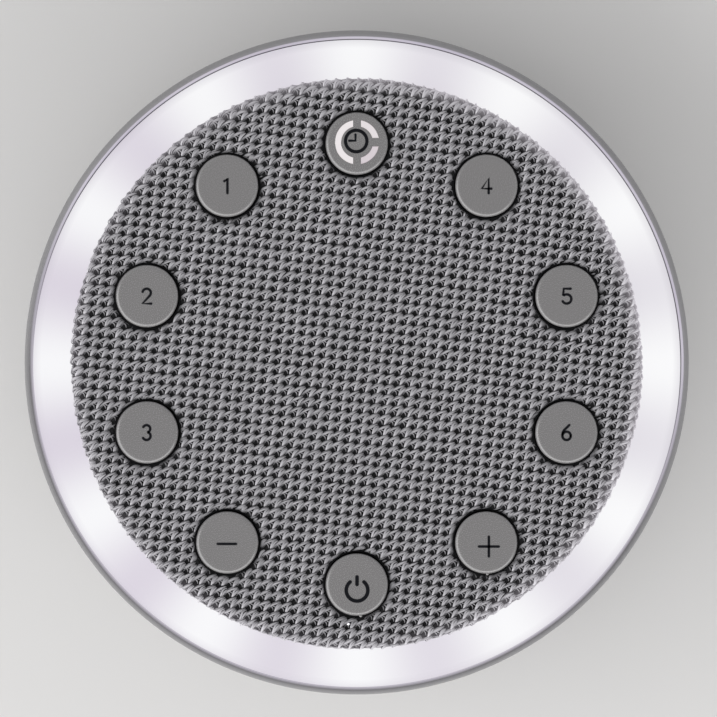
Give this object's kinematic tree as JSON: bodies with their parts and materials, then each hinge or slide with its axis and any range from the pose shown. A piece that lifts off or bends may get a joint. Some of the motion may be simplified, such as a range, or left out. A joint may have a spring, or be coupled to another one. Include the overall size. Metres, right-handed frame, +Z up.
{
  "type": "white noise sound machine",
  "caption": "Round table-top sound machine with a knitted top, push buttons on one circle, a lit ring round the cloth and a bowed grey case.",
  "frame": {"origin": "centre of the foot ring on the table", "axes": "+Z up through the top, +Y towards the timer button and the power socket"},
  "size_m": [0.126, 0.126, 0.056],
  "materials": {
    "rubber_black": "matte",
    "case_grey": "satin moulded",
    "base_grey": "fine moulded texture",
    "steel": "plated",
    "diffuser": "opal, lit from below",
    "white_plastic": "matte",
    "board_white": "solder mask",
    "board_green": "solder mask",
    "lamp": "phosphor",
    "frame_plastic": "matte",
    "grille_black": "matte",
    "knit": "open knit",
    "cap_grey": "soft-touch",
    "light_guide": "frosted, lit",
    "black_plastic": "matte",
    "basket_steel": "satin",
    "ferrite": "matte",
    "cone_paper": "matte",
    "foam": "foam",
    "spider_cloth": "resin-dipped",
    "copper": "wound",
    "terminal_tin": "tinned",
    "chip_black": "moulded",
    "can_blue": "sleeved can",
    "header_cream": "moulded",
    "lead_red": "insulated",
    "lead_grey": "insulated",
    "ribbon_white": "flat cable"
  },
  "bodies": {
    "case": {"foot_ring": "rubber_black", "base_plate": "base_grey", "base_screws": "steel", "housing": "case_grey", "light_ring": "diffuser", "light_reflector": "white_plastic", "light_ring_board": "board_white", "light_ring_leds": "lamp", "top_frame": "frame_plastic", "top_frame_screws": "steel", "grille_plate": "grille_black", "cloth_cover": "knit", "timer_leds": "lamp", "status_led": "lamp", "button_board": "board_green", "button_switches": "black_plastic", "button_board_screws": "steel", "speaker_basket": "basket_steel", "speaker_yoke": "steel", "speaker_magnet": "ferrite", "speaker_top_plate": "steel", "speaker_surround": "foam", "speaker_spider": "spider_cloth", "speaker_gasket": "foam", "speaker_screws": "steel", "speaker_terminals": "terminal_tin", "main_board": "board_green", "main_board_chips": "chip_black", "main_board_capacitors": "can_blue", "ribbon_sockets": "header_cream", "lead_headers": "header_cream", "power_socket": "steel", "main_board_screws": "steel", "speaker_leads": "lead_red", "button_ribbon": "ribbon_white", "led_leads": "lead_grey"},
    "timer_button_body": {"timer_button": "cap_grey", "timer_plunger": "black_plastic", "timer_light_guide": "light_guide"},
    "sound_button_1_body": {"sound_button_1": "cap_grey", "sound_plunger_1": "black_plastic"},
    "sound_button_2_body": {"sound_button_2": "cap_grey", "sound_plunger_2": "black_plastic"},
    "sound_button_3_body": {"sound_button_3": "cap_grey", "sound_plunger_3": "black_plastic"},
    "sound_button_4_body": {"sound_button_4": "cap_grey", "sound_plunger_4": "black_plastic"},
    "sound_button_5_body": {"sound_button_5": "cap_grey", "sound_plunger_5": "black_plastic"},
    "sound_button_6_body": {"sound_button_6": "cap_grey", "sound_plunger_6": "black_plastic"},
    "volume_up_button_body": {"volume_up_button": "cap_grey", "volume_up_plunger": "black_plastic"},
    "volume_down_button_body": {"volume_down_button": "cap_grey", "volume_down_plunger": "black_plastic"},
    "power_button_body": {"power_button": "cap_grey", "power_plunger": "black_plastic"},
    "cone_body": {"speaker_cone": "cone_paper", "speaker_dust_cap": "cone_paper", "speaker_voice_coil": "copper"}
  },
  "joints": [
    {"name": "timer_press", "type": "slide", "parent": "case", "child": "timer_button_body", "axis": [0, 0, -1], "range_m": [0, 0.0005], "stiffness_N_per_m": 1000, "springref_m": -0.001},
    {"name": "sound_1_press", "type": "slide", "parent": "case", "child": "sound_button_1_body", "axis": [0, 0, -1], "range_m": [0, 0.0005], "stiffness_N_per_m": 1000, "springref_m": -0.001},
    {"name": "sound_2_press", "type": "slide", "parent": "case", "child": "sound_button_2_body", "axis": [0, 0, -1], "range_m": [0, 0.0005], "stiffness_N_per_m": 1000, "springref_m": -0.001},
    {"name": "sound_3_press", "type": "slide", "parent": "case", "child": "sound_button_3_body", "axis": [0, 0, -1], "range_m": [0, 0.0005], "stiffness_N_per_m": 1000, "springref_m": -0.001},
    {"name": "sound_4_press", "type": "slide", "parent": "case", "child": "sound_button_4_body", "axis": [0, 0, -1], "range_m": [0, 0.0005], "stiffness_N_per_m": 1000, "springref_m": -0.001},
    {"name": "sound_5_press", "type": "slide", "parent": "case", "child": "sound_button_5_body", "axis": [0, 0, -1], "range_m": [0, 0.0005], "stiffness_N_per_m": 1000, "springref_m": -0.001},
    {"name": "sound_6_press", "type": "slide", "parent": "case", "child": "sound_button_6_body", "axis": [0, 0, -1], "range_m": [0, 0.0005], "stiffness_N_per_m": 1000, "springref_m": -0.001},
    {"name": "volume_up_press", "type": "slide", "parent": "case", "child": "volume_up_button_body", "axis": [0, 0, -1], "range_m": [0, 0.0005], "stiffness_N_per_m": 1000, "springref_m": -0.001},
    {"name": "volume_down_press", "type": "slide", "parent": "case", "child": "volume_down_button_body", "axis": [0, 0, -1], "range_m": [0, 0.0005], "stiffness_N_per_m": 1000, "springref_m": -0.001},
    {"name": "power_press", "type": "slide", "parent": "case", "child": "power_button_body", "axis": [0, 0, -1], "range_m": [0, 0.0005], "stiffness_N_per_m": 1000, "springref_m": -0.001},
    {"name": "cone_stroke", "type": "slide", "parent": "case", "child": "cone_body", "axis": [0, 0, 1], "range_m": [-0.001, 0.001], "stiffness_N_per_m": 1200, "deforming": ["speaker_surround", "speaker_spider"]}
  ]
}
